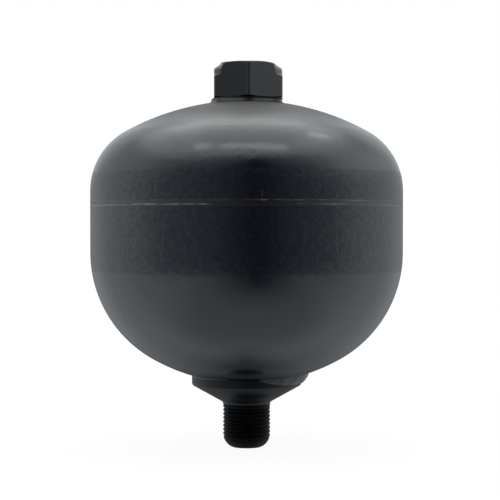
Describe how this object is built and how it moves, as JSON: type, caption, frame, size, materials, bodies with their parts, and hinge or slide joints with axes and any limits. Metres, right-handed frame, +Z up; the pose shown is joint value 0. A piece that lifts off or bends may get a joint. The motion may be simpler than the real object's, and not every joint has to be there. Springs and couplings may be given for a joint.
{
  "type": "brake accumulator",
  "caption": "Welded diaphragm accumulator: round black steel pressure vessel with a hexagonal charging boss on top and a threaded hydraulic port stud below.",
  "frame": {"origin": "on the vessel's axis, in the plane at the top of the port thread, which the thread is screwed up to", "axes": "+Z up the vessel's axis from the port to the charging boss; -Y is the front, with a corner of the hexagon turned to it; +X is the side where the port's weld bead is fullest"},
  "size_m": [0.1194, 0.1194, 0.1471],
  "materials": {
    "vessel_paint": "satin",
    "weld_paint": "satin",
    "boss_paint": "satin",
    "port_paint": "gloss",
    "screw_steel": "satin",
    "ring_steel": "satin",
    "button_alloy": "satin",
    "seal_rubber": "matte",
    "diaphragm_rubber": "matte"
  },
  "bodies": {
    "vessel": {"gas_shell": "vessel_paint", "fluid_shell": "vessel_paint", "girth_weld": "weld_paint", "hex_boss": "boss_paint", "boss_weld": "weld_paint", "charging_screw": "screw_steel", "charging_seal": "seal_rubber", "port_stud": "port_paint", "port_weld": "port_paint", "diaphragm": "diaphragm_rubber", "retaining_ring": "ring_steel"},
    "button": {"closing_button": "button_alloy"}
  },
  "joints": [
    {"name": "diaphragm_stroke", "type": "slide", "parent": "vessel", "child": "button", "axis": [0, 0, 1], "range_m": [0, 0.068], "deforming": ["diaphragm"]}
  ]
}
